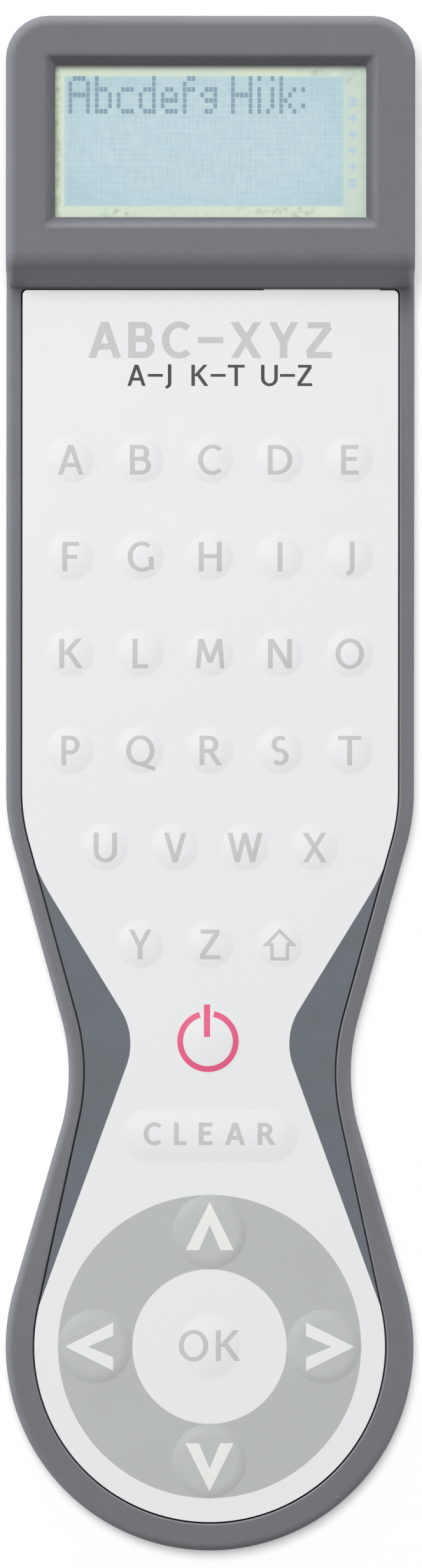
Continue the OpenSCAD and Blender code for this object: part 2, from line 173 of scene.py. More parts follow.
cavity_half = 19.2
cavity_low = 54.2
cavity_front_low = 56.9
cavity_high = 78.1
cavity_step = 4.71
cavity_corner = 2.3
seat_grow = 1.0
seat_depth = 1.0
corner_steps = 8
shoulder_steps = 16
waist_steps = 28
foot_steps = 48
back_steps = 3
edge_steps = 8
tray_edge_steps = 5
bevel_steps = 5
same_place = 1e-5
wear_swing = 0.05


def arc(centre, radius, start, stop, steps):
    """Points along an arc, from one angle to another in degrees."""
    turns = [math.radians(start + (stop - start) * i / steps) for i in range(steps + 1)]
    return [(centre[0] + radius * math.cos(t), centre[1] + radius * math.sin(t)) for t in turns]


def meeting(centre, radius, hollow):
    """The angle on a round at which the hollow of the waist takes over without a kink."""
    across = waist_c[0] - centre[0]
    along = waist_c[1] - centre[1]
    apart = math.hypot(across, along)
    lean = math.atan2(abs(along), across) - math.acos((radius + hollow) / apart)
    return math.degrees(math.copysign(lean, along))


def outline(inset, foot_inset, top, corner, levels=()):
    """The body's outline from above, drawn in from its sides and foot, clockwise from the top right."""
    half = body_half - inset
    hollow = waist_r + inset
    foot_r = body_half - foot_inset
    shoulder = meeting(shoulder_c, half, hollow)
    foot = meeting(foot_c, foot_r, hollow)
    right = arc((half - corner, top - corner), corner, 90, 0, corner_steps)
    right += [(half, y) for y in levels]
    right += arc(shoulder_c, half, 0, shoulder, shoulder_steps)
    right += arc(waist_c, hollow, 180 + shoulder, 180 + foot, waist_steps)[1:-1]
    right += arc(foot_c, foot_r, foot, -90, foot_steps)
    return right + [(-x, y) for x, y in reversed(right[:-1])]


def rounded(half, low, high, corner, steps=6):
    """A round-cornered rectangle about the middle line, clockwise from the top right."""
    right = arc((half - corner, high - corner), corner, 90, 0, steps)
    right += arc((half - corner, low + corner), corner, 0, -90, steps)
    return right + [(-x, y) for x, y in reversed(right)]


def ring(shape, points, level):
    """A loop of corners at one height, or at a height that follows the front of the case."""
    return [shape.verts.new((x, y, level(y) if callable(level) else level)) for x, y in points]


def skin(shape, *loops):
    """Bands of faces from loop to loop, each with as many corners."""
    for first, second in zip(loops, loops[1:]):
        for i in range(len(first)):
            shape.faces.new((first[i - 1], first[i], second[i], second[i - 1]))


def divide(regions, ties=()):
    """Divides overlapping regions into triangles; gives points, sources, triangles and their regions."""
    points = [Vector(p) for region in regions for p in region]
    faces = []
    for region in regions:
        first = sum(len(f) for f in faces)
        turn = sum(p[0] * q[1] - q[0] * p[1] for p, q in zip(region, [*region[1:], region[0]]))
        corners = list(range(first, first + len(region)))
        faces.append(corners if turn > 0 else corners[::-1])
    points, _, triangles, sources, _, held = delaunay_2d_cdt(points, list(ties), faces, 1, same_place)
    return points, sources, triangles, [set(h) for h in held]


def close(shape, loops, ties=()):
    """Closes a loop with faces, up to the loops that lie inside it."""
    corners = [v for loop in loops for v in loop]
    place = {v: i for i, v in enumerate(corners)}
    pairs = [(place[a], place[b]) for a, b in ties]
    _, sources, triangles, held = divide([[v.co.xy for v in loop] for loop in loops], pairs)
    for triangle, regions in zip(triangles, held):
        if regions == {0}:
            shape.faces.new([corners[sources[i][0]] for i in triangle])


def piece(name, shape, finishes, sharp=40):
    """Turns a shape drawn in mm into a named piece in metres, smooth where it has no edge."""
    bmesh.ops.dissolve_degenerate(shape, dist=same_place, edges=shape.edges[:])
    bmesh.ops.recalc_face_normals(shape, faces=shape.faces[:])
    mesh = bpy.data.meshes.new(name)
    shape.to_mesh(mesh)
    shape.free()
    mesh.transform(Matrix.Scale(mm, 4))
    mesh.shade_smooth()
    mesh.set_sharp_from_angle(angle=math.radians(sharp))
    for surface in finishes:
        mesh.materials.append(surface)
    made = bpy.data.objects.new(name, mesh)
    scene.collection.objects.link(made)
    return made


def tint(red, green, blue):
    """A colour as it looks, 0 to 255, in the linear numbers that a shader takes."""
    return (*(((c / 255 + 0.055) / 1.055) ** 2.4 for c in (red, green, blue)), 1)


def mixed(tree, share, first, second):
    """A colour between two others, by a share from 0 to 1."""
    return node(tree, "Mix", {0: share, 6: first, 7: second}, output=2, data_type="RGBA")


def noise(tree, place, size, detail):
    """Soft random patches about as wide as their size in mm."""
    return node(tree, "TexNoise", {"Vector": place, "Scale": 1 / (size * mm), "Detail": detail})


def finish(name, colour, rough, grain, depth, drift=0.05, patch=6.0, gloss=0.5, metal=0.0, fleck=None):
    """A surface whose colour and gloss drift in patches, or to a fleck, with a fine grain; sizes in mm."""
    made = bpy.data.materials.new(name)
    made.use_nodes = True
    made.diffuse_color = colour
    tree = made.node_tree
    shader = tree.nodes["Principled BSDF"].inputs
    place = tree.nodes.new("ShaderNodeTexCoord").outputs["Object"]
    patches = noise(tree, place, patch, 4.0)
    grains = noise(tree, place, grain, 2.0)
    share = ramp(tree, reckon(tree, "ADD", patches, grains), 0.6, 1.4)
    low = [c * (1 - drift) for c in colour[:3]] + [1]
    high = [min(1, c * (1 + drift)) for c in (fleck or colour)[:3]] + [1]
    shade = mixed(tree, share, low, high)
    wear = ramp(tree, patches, 0.3, 0.7, rough - wear_swing, rough + wear_swing)
    bump = node(tree, "Bump", {"Height": grains, "Distance": depth * mm, "Strength": 0.6})
    shader["Metallic"].default_value = metal
    shader["Specular IOR Level"].default_value = gloss
    for socket, value in (("Base Color", shade), ("Roughness", wear), ("Normal", bump)):
        tree.links.new(value, shader[socket])
    return made


def dust(made, colour, spacing, size, share):
    """Sets a few tiny specks of lint on a surface; spacing and size are in mm."""
    tree = made.node_tree
    shade = tree.nodes["Principled BSDF"].inputs["Base Color"]
    place = tree.nodes.new("ShaderNodeTexCoord").outputs["Object"]
    cells = tree.nodes.new("ShaderNodeTexVoronoi")
    cells.inputs["Scale"].default_value = 1 / (spacing * mm)
    tree.links.new(place, cells.inputs["Vector"])
    reach = size / spacing
    near = ramp(tree, cells.outputs["Distance"], reach * 0.5, reach, 1.0, 0.0)
    draw = node(tree, "SeparateColor", {0: cells.outputs["Color"]})
    kept = reckon(tree, "LESS_THAN", draw, share)
    specks = reckon(tree, "MULTIPLY", near, kept)
    tree.links.new(mixed(tree, specks, shade.links[0].from_socket, colour), shade)


slope_drop = (crest_c[0] - slope_foot_c[0], crest_c[1] - slope_foot_c[1])
slope_tilt = math.degrees(math.atan2(slope_drop[1], slope_drop[0])
                          + math.asin((crest_r + slope_foot_r) / math.hypot(*slope_drop)))
crest = arc(crest_c, crest_r, 90, 90 + slope_tilt, crest_steps)
toe = arc(slope_foot_c, slope_foot_r, slope_tilt - 90, -90, toe_steps)
slope_run = [Vector(crest[-1]).lerp(Vector(toe[0]), i / slope_steps) for i in range(1, slope_steps)]
slope = crest + [tuple(p) for p in slope_run] + toe
slope_levels = [y for y, z in slope]


def front(y):
    """Height of the front of the case: the rim's, the head's, or the slope's between them."""
    for (y1, z1), (y0, z0) in zip(slope, slope[1:]):
        if y0 <= y <= y1:
            return z0 + (z1 - z0) * (y - y0) / (y1 - y0)
    return head_level if y > slope[0][0] else rim_level


def rise(y):
    """How far up the slope a place is, from 0 on the rim to 1 on the head."""
    return (front(y) - rim_level) / (head_level - rim_level)


def edge_at(y):
    """Radius of the case's rounded edge, fuller round the head than along the tray."""
    return edge_r + (head_edge_r - edge_r) * rise(y)


def edge_level(y, down):
    """Height on the rounded edge, which keeps its round across the slope until it meets the rim's."""
    lean = min(max(crest_c[0] - y, 0) / crest_r, math.sin(math.radians(slope_tilt)))
    drop = edge_at(y) * down / math.sqrt(1 - lean ** 2)
    return max(front(y) - drop, rim_level - edge_r * down) - rim_lean * (1 - rise(y))


def case_line(slim, full):
    """The case's own edge, drawn in by one amount along the tray and another round the head."""
    low, high = (outline(i, i, head_top - i, head_corner - i, slope_levels) for i in (slim, full))
    return [(x + (u - x) * rise(y), y + (v - y) * rise(y)) for (x, y), (u, v) in zip(low, high)]


def tray_line(spread):
    """The tray's inner wall, spread outwards along the sides and the foot."""
    return outline(tray_side - spread, tray_foot - spread, tray_top, tray_corner)


def screen_line(spread):
    """The opening for the display, spread outwards up its bevel."""
    corner = screen_corner + spread / 4
    return rounded(screen_half + spread, screen_low - spread, screen_high + spread, corner)


def quarter(steps):
    """Shares of a quarter round: how far in from the wall, and how far below the face."""
    turns = [math.radians(90 * i / steps) for i in range(steps + 1)]
    return [(1 - math.cos(t), 1 - math.sin(t)) for t in turns]


shell = bmesh.new()
back_loops = [
    ring(shell, case_line(back_break * down, back_break * down), back_break * across)
    for across, down in quarter(back_steps)
]
edge_loops = []
for across, down in quarter(edge_steps):
    line = case_line(edge_r * across, head_edge_r * across)
    edge_loops.append(ring(shell, line, lambda y: edge_level(y, down)))
skin(shell, *back_loops, *edge_loops)
tray_loops = [
    ring(shell, tray_line(tray_edge_r * down), rim_level - tray_edge_r * across)
    for across, down in quarter(tray_edge_steps)
]
tray_loops.append(ring(shell, tray_line(0), tray_floor))
skin(shell, *tray_loops)
close(shell, [tray_loops[-1]])
bevel_tilt = math.atan2(head_level - lip_level, bevel_w)
bevel_round = bevel_w + bevel_edge_r * math.tan(bevel_tilt / 2)
screen_loops = []
for i in range(bevel_steps + 1):
    turn = bevel_tilt * i / bevel_steps
    line = screen_line(bevel_round - bevel_edge_r * math.sin(turn))
    screen_loops.append(ring(shell, line, head_level - bevel_edge_r * (1 - math.cos(turn))))
hollow_lines = [
    (screen_line(0), lip_level),
    (screen_line(0), pane_level),
    (rounded(cavity_half, cavity_front_low, cavity_high, cavity_corner), pane_level),
    (rounded(cavity_half, cavity_front_low, cavity_high, cavity_corner), cavity_step),
    (rounded(cavity_half, cavity_low, cavity_high, cavity_corner), cavity_step),
    (rounded(cavity_half, cavity_low, cavity_high, cavity_corner), seat_depth),
]
seat_ends = (cavity_low - seat_grow, cavity_high + seat_grow)
seat_line = rounded(cavity_half + seat_grow, *seat_ends, cavity_corner + seat_grow)
hollow_lines += [(seat_line, seat_depth), (seat_line, 0)]
screen_loops += [ring(shell, line, level) for line, level in hollow_lines]
skin(shell, *screen_loops)
top_loop = edge_loops[-1]
first_tie = corner_steps + 1
slope_ties = [(top_loop[i], top_loop[-1 - i]) for i in range(first_tie, first_tie + len(slope_levels))]
close(shell, [top_loop, tray_loops[0], screen_loops[0]], slope_ties)
close(shell, [back_loops[0], screen_loops[-1]])

soft_grey = finish("soft_grey", tint(118, 119, 124), rough=0.66, grain=0.16, depth=0.012, drift=0.08,
                   gloss=0.2)
dust(soft_grey, tint(190, 190, 190), spacing=2.2, size=0.07, share=0.16)
housing = piece("housing", shell, [soft_grey])
even = housing.modifiers.new("even_faces", "WEIGHTED_NORMAL")
even.keep_sharp = True
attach(housing, "case")
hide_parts("front_housing")

# Display glass: two sheets of glass with the liquid crystal between them, the front one overhanging the other
# by a ledge for its contacts. Under the front sheet lie the pale reflector, the grid of dots, one line of
# them dark, and a column of small signs at the right. Round the opening's edge runs a painted shadow line for
# the shade under the lip, along its top a painted highlight strip for the window's edge, and the reflector
# carries real dirt at its left and painted shade under the bevel at its right.
glass_edge = 0.3
# Width of a painted shadow line just inside the opening's edge, for the shade under the lip.
lip_shadow_w = 0.08
# Width of a painted highlight strip along the top of the opening, for the window's edge catching the light.
highlight_strip_w = 0.2
glass_drop = 0.02
rear_glass_level = 6.6
ledge = 1.4
dots_left = -15.35
dots_top = 74.05
dot_columns = 64
dot_rows = 24
dot_pitch = (0.4594, 0.571)
dot_gap = 0.06
dot_letters = (
    "01110 10001 10001 11111 10001 10001 10001",
    "1000 1000 1110 1001 1001 1001 1110",
    "0000 0000 0111 1000 1000 1000 0111",
    "0001 0001 0111 1001 1001 1001 0111",
    "0000 0000 0110 1001 1111 1000 0111",
    "011 100 111 100 100 100 100",
    "0000 0000 0111 1001 0111 0001 0110",
    "0 0 0 0 0 0 0",
    "10001 10001 10001 11111 10001 10001 10001",
    "1 0 1 1 1 1 1",
    "01 00 01 01 01 01 10",
    "1000 1000 1001 1010 1100 1010 1001",
    "0 0 1 0 0 1 0",
)
signs_x = 14.9
signs_y = (71.35, 69.65, 67.95, 66.25, 64.55, 62.85)
sign_scale = 0.85
grime_size = 0.7
stain_size = 7.0
grimy_left = (-15.5, -15.95)
# Span in mm where the border darkens at its right: painted shade under the bevel.
bevel_shade_span = (15.4, 16.4)
# Span in mm of a painted shade strip at the border's right, under the bevel.
right_shade_strip = (13.4, 14.2)
thread_fine = 2600
thread_long = 420
faded_edge = (-0.35, 0.05)


def extent(name):
    """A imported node's lowest and highest corner in mm."""
    return [Vector(corner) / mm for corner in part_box(name)]


def shifted(shapes, x, y, scale=1.0):
    """Flat shapes at another place and size."""
    return [[(x + scale * px, y + scale * py) for px, py in shape] for shape in shapes]


def block(left, low, right, high):
    """A plain rectangle."""
    return [(left, low), (right, low), (right, high), (left, high)]


def turned(shapes, degrees):
    """Flat shapes turned about the middle."""
    c = math.cos(math.radians(degrees))
    s = math.sin(math.radians(degrees))
    return [[(c * x - s * y, s * x + c * y) for x, y in shape] for shape in shapes]


def lay(shape, points, triangles, level):
    """Lays triangles into a shape at the height that level gives for each point."""
    corners = [shape.verts.new((*p, level(*p))) for p in points]
    return [shape.faces.new([corners[i] for i in t]) for t in triangles]


glass_low, glass_high = extent("lcd_panel")
glass_line = rounded(glass_high.x, glass_low.y, glass_high.y, glass_edge)
field_size = (dot_columns * dot_pitch[0], dot_rows * dot_pitch[1])
dots_right = dots_left + field_size[0]
dots_low = dots_top - field_size[1]
active = [(dots_left, dots_top), (dots_right, dots_top), (dots_right, dots_low), (dots_left, dots_low)]
dark_dots = []
column = 1
for letter in dot_letters:
    rows = letter.split()
    for row, marks in enumerate(rows):
        for i, mark in enumerate(marks):
            if mark == "1":
                x0 = dots_left + (column + i) * dot_pitch[0] + dot_gap / 2
                x1 = x0 + dot_pitch[0] - dot_gap
                y1 = dots_top - row * dot_pitch[1] - dot_gap / 2
                y0 = y1 - dot_pitch[1] + dot_gap
                dark_dots.append(block(x0, y0, x1, y1))
    column += len(rows[0]) + 1
peak = [(-0.62, -0.12), (0.62, -0.12), (0, 0.56)]
post_mark = [(-0.2, -0.55), (0.2, -0.55), (0.2, 0), (-0.2, 0)]
double_peak = shifted([peak], 0, 0.14) + shifted([peak], 0, -0.42)
sign_shapes = [
    double_peak,
    [peak, post_mark],
    turned([peak, post_mark], 90),
    turned([peak, post_mark], -90),
    turned([peak, post_mark], 180),
    turned(double_peak, 180),
]
signs = [s for shapes, y in zip(sign_shapes, signs_y) for s in shifted(shapes, signs_x, y, sign_scale)]
# A thin strip just inside the opening's edge keeps the glass's dark side grey: a painted shadow under the
# lip.
in_half = screen_half - lip_shadow_w
in_low = screen_low + lip_shadow_w
in_high = screen_high - lip_shadow_w
inner = block(-in_half, in_low, in_half, in_high - highlight_strip_w)
# The strip along the top of the opening: a painted highlight for the light the window's top edge throws back.
highlight_strip = block(-in_half, in_high - highlight_strip_w, in_half, in_high)
glass = bmesh.new()
glass_regions = [glass_line, inner, highlight_strip, active, *dark_dots, *signs]
region_finish = [0, 1, 2, 3] + [4] * len(dark_dots) + [5] * len(signs)
points, _, triangles, held = divide(glass_regions)
glass_face = lay(glass, points, triangles, lambda x, y: glass_high.z - glass_drop)
for face, regions in zip(glass_face, held):
    face.material_index = region_finish[max(regions)]
bmesh.ops.remove_doubles(glass, verts=glass.verts[:], dist=10 * same_place)
glass_rim = [v for v in glass.verts if v.is_boundary]
rim_order = {}
for v in glass_rim:
    rim_order[min(range(len(glass_line)), key=lambda i: (Vector(glass_line[i]) - v.co.xy).length)] = v
rim_loop = [rim_order[i] for i in range(len(glass_line))]
rear_line = rounded(glass_high.x, glass_low.y + ledge, glass_high.y, glass_edge)
glass_loops = [
    rim_loop, ring(glass, glass_line, rear_glass_level), ring(glass, rear_line, rear_glass_level),
    ring(glass, rear_line, glass_low.z),
]
skin(glass, *glass_loops)
close(glass, [glass_loops[-1]])
for face in glass.faces:
    if face.calc_center_median().z < glass_high.z - 2 * glass_drop:
        face.material_index = 0

# The grey of the glass's sides and back, also used for the painted shadow line round the opening.
glass_side_and_shade = finish("lcd_glass_side_and_shadow", tint(109, 114, 111), rough=0.3, grain=0.4, depth=0.001, gloss=0.3)
dot_dark = finish("lcd_dark_dot", tint(139, 169, 189), rough=0.5, grain=0.1, depth=0.001, drift=0.08,
                  gloss=0.1)
sign_blue = finish("lcd_sign", tint(198, 222, 233), rough=0.5, grain=0.1, depth=0.001, gloss=0.1)
# Painted highlight colour for that strip.
pane_edge_highlight = finish("lcd_painted_highlight", tint(250, 253, 253), rough=0.4, grain=0.2, depth=0.001, gloss=0.1)

reflector = finish("lcd_border", tint(227, 244, 230), rough=0.5, grain=0.2, depth=0.001, drift=0.02,
                   patch=5.0, gloss=0.1, fleck=tint(240, 248, 220))
border_tree = reflector.node_tree
border_place = border_tree.nodes.new("ShaderNodeTexCoord").outputs["Object"]
border_x = node(border_tree, "SeparateXYZ", {0: border_place})
grime_and_shade = noise(border_tree, border_place, grime_size, 6.0)
spots = ramp(border_tree, grime_and_shade, 0.5, 0.68)
haze_dirt_and_shade = ramp(border_tree, grime_and_shade, 0.3, 0.7, 0.1, 0.75)
stains = noise(border_tree, border_place, stain_size, 2.0)
stains = ramp(border_tree, stains, 0.53, 0.65, high=0.45)
spots = reckon(border_tree, "MULTIPLY", spots, stains)
# The haze is real dirt along the left edge; along the right edge, under the bevel, it is painted shade.
left_edge = ramp(border_tree, border_x, *(x * mm for x in grimy_left))
bevel_shade = ramp(border_tree, border_x, *(x * mm for x in bevel_shade_span), high=0.45)
edges = reckon(border_tree, "MAXIMUM", left_edge, bevel_shade)
haze_dirt_and_shade = reckon(border_tree, "MULTIPLY", haze_dirt_and_shade, edges)
grime_and_shade = reckon(border_tree, "MAXIMUM", spots, haze_dirt_and_shade)
border_shade = border_tree.nodes["Principled BSDF"].inputs["Base Color"]
# Painted shade: the border turns darker and cooler across a strip at its right, next to the bevel.
right_shade = ramp(border_tree, border_x, *(x * mm for x in right_shade_strip), high=0.7)
right_shaded_border = mixed(border_tree, right_shade, border_shade.links[0].from_socket, tint(212, 229, 220))
# Dirt spots, the dirty left edge and the painted shade at the right all mix towards one grime colour.
border_tree.links.new(mixed(border_tree, grime_and_shade, right_shaded_border, tint(156, 167, 136)), border_shade)

dot_field = finish("lcd_dot_field", tint(196, 222, 231), rough=0.5, grain=0.3, depth=0.001, drift=0.03,
                   gloss=0.1)
field_tree = dot_field.node_tree
field_place = field_tree.nodes.new("ShaderNodeTexCoord").outputs["Object"]
grid_start = (-dots_left * mm, -dots_top * mm, 0)
field_grid = node(field_tree, "Mapping", {"Vector": field_place, "Location": grid_start})
field_dots = node(field_tree, "TexBrick", {
    "Vector": field_grid, "Color1": tint(193, 220, 229), "Color2": tint(199, 225, 234),
    "Mortar": tint(210, 234, 239), "Scale": 1 / mm, "Mortar Size": dot_gap / 2, "Mortar Smooth": 0.3,
    "Brick Width": dot_pitch[0], "Row Height": dot_pitch[1],
}, offset=0.0)
threads = []
for way in ((thread_long, thread_fine, 1), (thread_fine, thread_long, 1)):
    drawn_out = node(field_tree, "Mapping", {"Vector": field_place, "Scale": way})
    threads.append(node(field_tree, "TexNoise", {"Vector": drawn_out, "Scale": 1.0, "Detail": 1.0}))
threads = ramp(field_tree, reckon(field_tree, "ADD", *threads), 0.8, 1.35, high=0.5)
woven = mixed(field_tree, threads, field_dots, tint(219, 243, 247))
field_half = (field_size[0] / 2 * mm, field_size[1] / 2 * mm)
field_middle = (-dots_left * mm - field_half[0], -dots_top * mm + field_half[1], 0)
centred = node(field_tree, "Mapping", {"Vector": field_place, "Location": field_middle})
per_half = (1 / field_half[0], 1 / field_half[1], 0)
spread = node(field_tree, "VectorMath", {0: centred, 1: per_half}, operation="MULTIPLY")
spread = node(field_tree, "VectorMath", {0: spread}, output=1, operation="LENGTH")
deep = ramp(field_tree, spread, 0.8, 1.45, high=0.45)
field_shade = mixed(field_tree, deep, woven, tint(169, 207, 222))
from_edge = node(field_tree, "VectorMath", {0: centred}, operation="ABSOLUTE")
from_edge = node(field_tree, "VectorMath", {0: from_edge, 1: (*field_half, 0)}, operation="SUBTRACT")
from_edge_x = node(field_tree, "SeparateXYZ", {0: from_edge})
from_edge_y = node(field_tree, "SeparateXYZ", {0: from_edge}, output=1)
fade = reckon(field_tree, "MAXIMUM", from_edge_x, from_edge_y)
fade = ramp(field_tree, fade, *(x * mm for x in faded_edge), high=0.8)
field_shade = mixed(field_tree, fade, field_shade, tint(227, 244, 230))
field_tree.links.new(field_shade, field_tree.nodes["Principled BSDF"].inputs["Base Color"])
glass_finishes = [glass_side_and_shade, reflector, pane_edge_highlight, dot_field, dot_dark, sign_blue]
display_glass = piece("display_glass", glass, glass_finishes)
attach(display_glass, "case")
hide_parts("lcd_panel")

# Window: a clear acrylic pane, cut square and laid in behind the front wall of the head, over the display.
# It shines a little and lets the lamp through to the glass below.
pane = finish("clear_acrylic", (0.97, 0.985, 0.98, 1), rough=0.06, grain=2.0, depth=0.0005, drift=0.01)
pane_tree = pane.node_tree
pane_shader = pane_tree.nodes["Principled BSDF"]
pane_shader.inputs["Transmission Weight"].default_value = 1.0
pane_shader.inputs["IOR"].default_value = 1.49
lamp_rays = pane_tree.nodes.new("ShaderNodeLightPath").outputs["Is Shadow Ray"]
open_pane = pane_tree.nodes.new("ShaderNodeBsdfTransparent").outputs[0]
pane_mix = node(pane_tree, "MixShader", {0: lamp_rays, 1: pane_shader.outputs[0], 2: open_pane})
pane_tree.links.new(pane_mix, pane_tree.nodes["Material Output"].inputs["Surface"])


def dress(made, *names):
    """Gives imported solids, whose shape is right as it is, their finish."""
    for name in names:
        slots = nodes[name].data.materials
        slots.clear()
        slots.append(made)


dress(pane, "display_window")

# Electronics in the head: a green fibreglass board, the chip under its black resin drop, the clock's tin can
# and the striped rubber connector that the glass presses onto the board's edge.
dress(finish("board_green", tint(38, 92, 58), rough=0.4, grain=0.5, depth=0.01, drift=0.15, patch=3.0),
      "main_board")
dress(finish("chip_black", tint(26, 26, 28), rough=0.3, grain=0.6, depth=0.02, drift=0.2), "processor_blob")
dress(finish("can_tin", tint(196, 196, 192), rough=0.28, grain=0.3, depth=0.003, drift=0.08, metal=1.0),
      "crystal")
zebra_pitch = 0.25
wave_period = 0.314
zebra = finish("connector_rubber", tint(96, 96, 98), rough=0.7, grain=0.15, depth=0.01, drift=0.1)
zebra_tree = zebra.node_tree
zebra_place = zebra_tree.nodes.new("ShaderNodeTexCoord").outputs["Object"]
zebra_scale = wave_period / (zebra_pitch * mm)
zebra_bands = node(zebra_tree, "TexWave", {"Vector": zebra_place, "Scale": zebra_scale}, output=1)
zebra_shade = mixed(zebra_tree, zebra_bands, tint(30, 30, 32), tint(190, 176, 150))
zebra_tree.links.new(zebra_shade, zebra_tree.nodes["Principled BSDF"].inputs["Base Color"])
dress(zebra, "zebra_strip")

# Battery: a flat steel coin cell in the cover's well, with a sprung brass strip on its face and another
# against its rim, both soldered to the board.
dress(finish("cell_steel", tint(204, 205, 206), rough=0.24, grain=0.12, depth=0.002, drift=0.05, metal=1.0),
      "coin_cell")
dress(finish("contact_brass", tint(214, 184, 112), rough=0.3, grain=0.2, depth=0.003, drift=0.1, metal=1.0),
      "contact_positive", "contact_negative")

# Rear cover and battery door: flat plates in the same grey plastic, let in flush with the back. The cover is
# hooked under the head's top wall and held by two screws; the round door has its own screw beside it.
dress(soft_grey, "rear_cover", "battery_door")
plate_break = 0.12
plate_edge = 50
for plate in ("rear_cover", "battery_door"):
    softened = nodes[plate].modifiers.new("broken_edges", "BEVEL")
    softened.width = plate_break * mm
    softened.segments = 2
    softened.limit_method = "ANGLE"
    softened.angle_limit = math.radians(plate_edge)

# Screws: small steel cap screws with a cross recess, one for the door and two for the cover, their heads sunk
# level with the back.
head_edge = 0.14
head_h = 0.6
shank_r = 0.7
cross_arm = 0.95
cross_w = 0.17
cross_deep = 0.4
cross_taper = 0.7
point = 0.3
screw_steps = 48


def circle(centre, radius, steps):
    """A full round of corners."""
    return arc(centre, radius, 0, 360 - 360 / steps, steps - 1)


def screw(shape, centre, head_r, end):
    """One screw, head down, with the cross pressed into its face."""
    arm = [(cross_arm, -cross_w), (cross_arm, cross_w), (cross_w, cross_w)]
    cross = [p for quarter_turn in range(4) for p in turned([arm], 90 * quarter_turn)[0]]
    cross = shifted([cross], *centre)[0]
    face_loop = ring(shape, circle(centre, head_r - head_edge, screw_steps), 0)
    cross_loop = ring(shape, cross, 0)
    held_back = [c * (1 - cross_taper) for c in centre]
    cross_floor = ring(shape, shifted([cross], *held_back, cross_taper)[0], cross_deep)
    close(shape, [face_loop, cross_loop])
    skin(shape, cross_loop, cross_floor)
    close(shape, [cross_floor])
    sides = [(head_r, head_edge), (head_r, head_h), (shank_r, head_h), (shank_r, end - point)]
    sides.append((shank_r - point, end))
    side_loops = [ring(shape, circle(centre, r, screw_steps), z) for r, z in sides]
    skin(shape, face_loop, *side_loops)
    close(shape, [side_loops[-1]])


screw_steel = finish("screw_steel", tint(178, 178, 180), rough=0.3, grain=0.25, depth=0.003, drift=0.08,
                     metal=1.0)
for name, sides in (("door_screw", (0,)), ("case_screws", (-1, 1))):
    low, high = extent(name)
    head_r = (high.y - low.y) / 2
    screws = bmesh.new()
    for side in sides:
        middle = (low.x + high.x) / 2 + side * ((high.x - low.x) / 2 - head_r)
        screw(screws, (middle, (low.y + high.y) / 2), head_r, high.z)
    made = piece(name + "_crossed", screws, [screw_steel])
    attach(made, "case")
    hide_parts(name)

# Contact films: under the printed sheet lie a dark sticky spacer with an opening below each key and the amber
# polyester film with the printed contacts, whose tail runs up into the head.
dress(finish("contact_film", tint(120, 112, 92), rough=0.4, grain=0.4, depth=0.004, drift=0.08),
      "keypad_circuit")
dress(finish("spacer_film", tint(58, 58, 60), rough=0.6, grain=0.4, depth=0.003), "keypad_spacer")

# Keypad sheet: white polyester film, printed from behind and glued into the tray, with a tongue that runs up
# against the head. Slate panels fill its waist, a grey ring surrounds the cluster at the foot, and an index
# of the alphabet stands at its head. The domed keys are pressed up through it.
sheet_gap = 0.18
sheet_top_gap = 0.12
sheet_corner = 0.5
sheet_thick = 0.4
tongue_left = 5.6
tongue_right = 17.8
tongue_top = 53.4
key_flange = 0.35
key_play = 0.08
key_steps = 28
panel_tip = (7.62, -26.4)
panel_rise = 31.6
panel_fall = 20.0
panel_tip_r = 6.8
panel_straight = 16.9
panel_bend_r = 30.0
panel_bend = 16.0
panel_end = 34
panel_bend_steps = 8
panel_tip_steps = 16
ring_in = 8.1
ring_out = 15.9
ring_steps = 120
sheet_level = extent("keypad_overlay")[1].z


def stem(x0, y0, x1, y1, w):
    """A stroke with level ends."""
    return [(x0 - w / 2, y0), (x0 + w / 2, y0), (x1 + w / 2, y1), (x1 - w / 2, y1)]


def beam(x0, y0, x1, y1, w):
    """A stroke with upright ends."""
    return [(x0, y0 - w / 2), (x1, y1 - w / 2), (x1, y1 + w / 2), (x0, y0 + w / 2)]


def bow(centre, half, start, stop, thick, thin):
    """A curved stroke, wider at its sides than at its top and foot."""
    steps = max(6, int(abs(stop - start) / 9))
    turns = [math.radians(start + (stop - start) * i / steps) for i in range(steps + 1)]
    outer = [(centre[0] + half[0] * math.cos(t), centre[1] + half[1] * math.sin(t)) for t in turns]
    wide, tall = half[0] - thick, half[1] - thin
    return outer + [(centre[0] + wide * math.cos(t), centre[1] + tall * math.sin(t)) for t in turns[::-1]]


